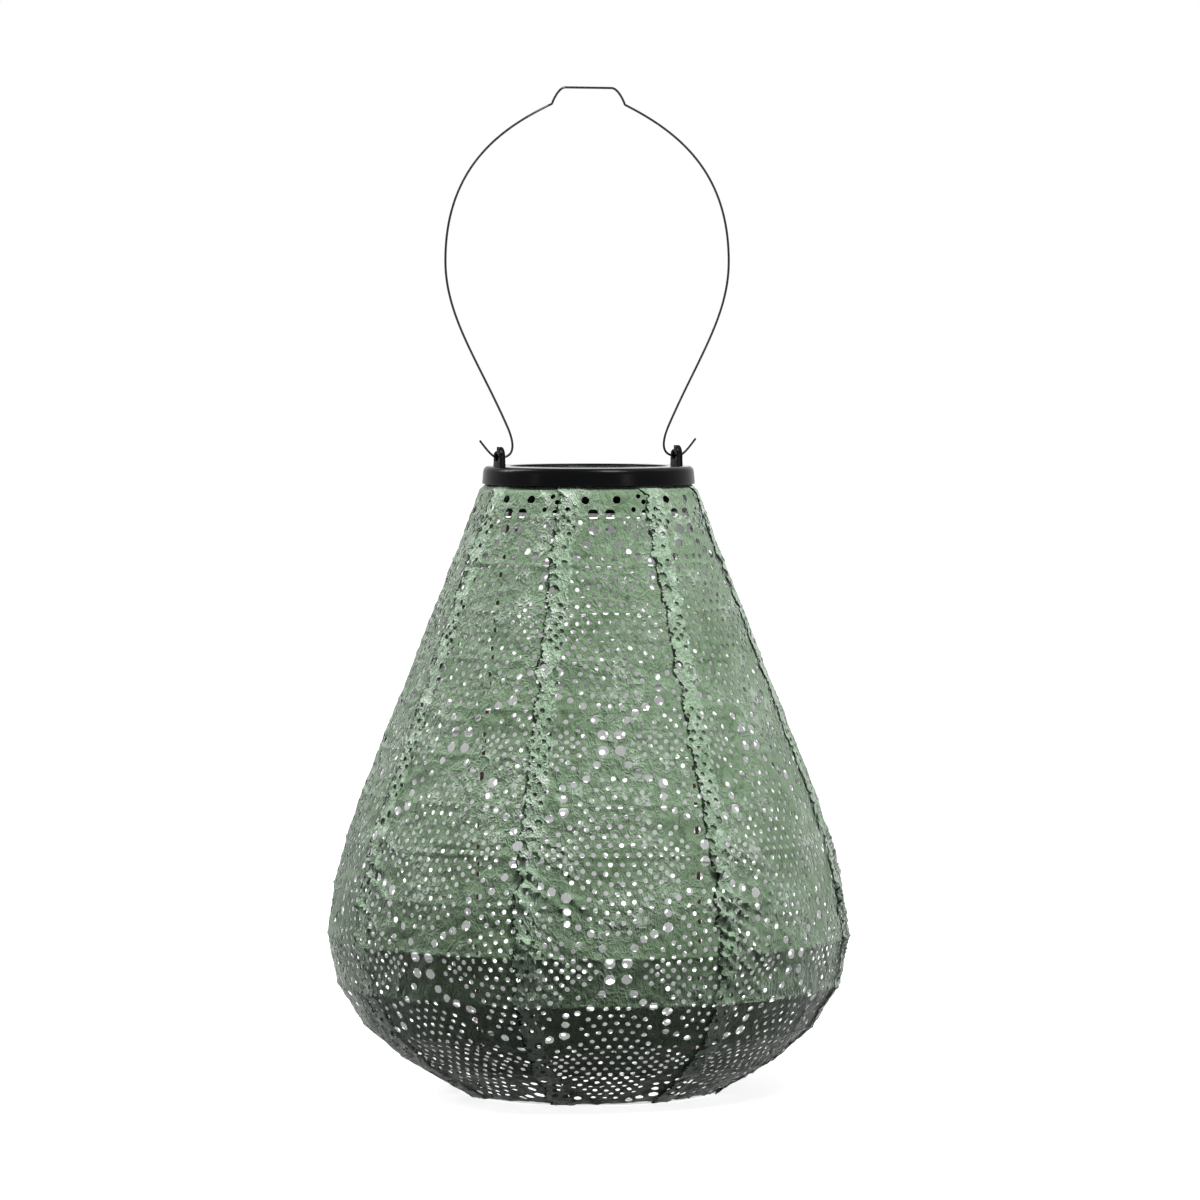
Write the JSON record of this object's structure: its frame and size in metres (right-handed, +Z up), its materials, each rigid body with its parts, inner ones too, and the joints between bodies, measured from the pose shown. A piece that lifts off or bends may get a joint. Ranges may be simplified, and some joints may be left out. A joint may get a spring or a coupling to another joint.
{
  "type": "solar garden lantern",
  "caption": "Drop-shaped garden lantern: a punched cloth shade on wire hoops with an open base, a black collar holding a solar light unit, and a swinging wire bail.",
  "frame": {"origin": "centre of the open base, on the plane the lantern stands on", "axes": "+Z up along the lantern's axis; the bail's eyelets lie on the X axis and the bail swings towards +Y and -Y"},
  "size_m": [0.2706, 0.2706, 0.5171],
  "materials": {
    "cloth": "coated nonwoven, crinkled, satin, punched",
    "hoop_wire": "galvanised spring wire",
    "spreader_wire": "dark spring wire",
    "black_plastic": "moulded ABS, satin",
    "bail_wire": "bright spring wire",
    "clear_plastic": "clear polycarbonate",
    "silicon": "solar cell under resin",
    "board": "solder mask",
    "milky_plastic": "translucent, frosted",
    "seal_rubber": "soft silicone",
    "battery_sleeve": "shrink sleeve",
    "zinc_plate": "zinc plated"
  },
  "bodies": {
    "lantern_frame": {"top_collar": "black_plastic", "base_ring": "hoop_wire", "spreader_leg_left": "spreader_wire", "spreader_leg_right": "spreader_wire", "hoop_01": "hoop_wire", "hoop_02": "hoop_wire", "hoop_03": "hoop_wire", "hoop_04": "hoop_wire", "hoop_05": "hoop_wire", "hoop_06": "hoop_wire", "hoop_07": "hoop_wire", "hoop_08": "hoop_wire", "hoop_09": "hoop_wire", "hoop_10": "hoop_wire", "hoop_11": "hoop_wire", "hoop_12": "hoop_wire", "hoop_13": "hoop_wire", "shade_panel_1": "cloth", "shade_panel_2": "cloth", "shade_panel_3": "cloth", "shade_panel_4": "cloth", "shade_panel_5": "cloth", "shade_panel_6": "cloth", "shade_panel_7": "cloth", "shade_panel_8": "cloth"},
    "bail": {"bail": "bail_wire"},
    "light_unit": {"unit_housing": "black_plastic", "unit_base": "black_plastic", "unit_seal": "seal_rubber", "solar_cover": "clear_plastic", "solar_cell": "silicon", "circuit_board": "board", "led": "milky_plastic", "diffuser": "milky_plastic", "battery": "battery_sleeve", "contact_minus": "zinc_plate", "contact_plus": "zinc_plate", "battery_door": "black_plastic", "battery_door_screw": "zinc_plate", "unit_screw_1": "zinc_plate", "unit_screw_2": "zinc_plate", "unit_screw_3": "zinc_plate", "switch_body": "black_plastic"},
    "switch": {"switch_knob": "black_plastic"}
  },
  "joints": [
    {"name": "bail_swing", "type": "hinge", "parent": "lantern_frame", "child": "bail", "pos_m": [0, 0, 0.3272], "axis": [1, 0, 0], "range_deg": [-95, 95]},
    {"name": "light_unit_lift", "type": "slide", "parent": "lantern_frame", "child": "light_unit", "axis": [0, 0, 1], "range_m": [0, 0.045]},
    {"name": "switch_slide", "type": "slide", "parent": "light_unit", "child": "switch", "axis": [1, 0, 0], "range_m": [0, 0.003]}
  ]
}
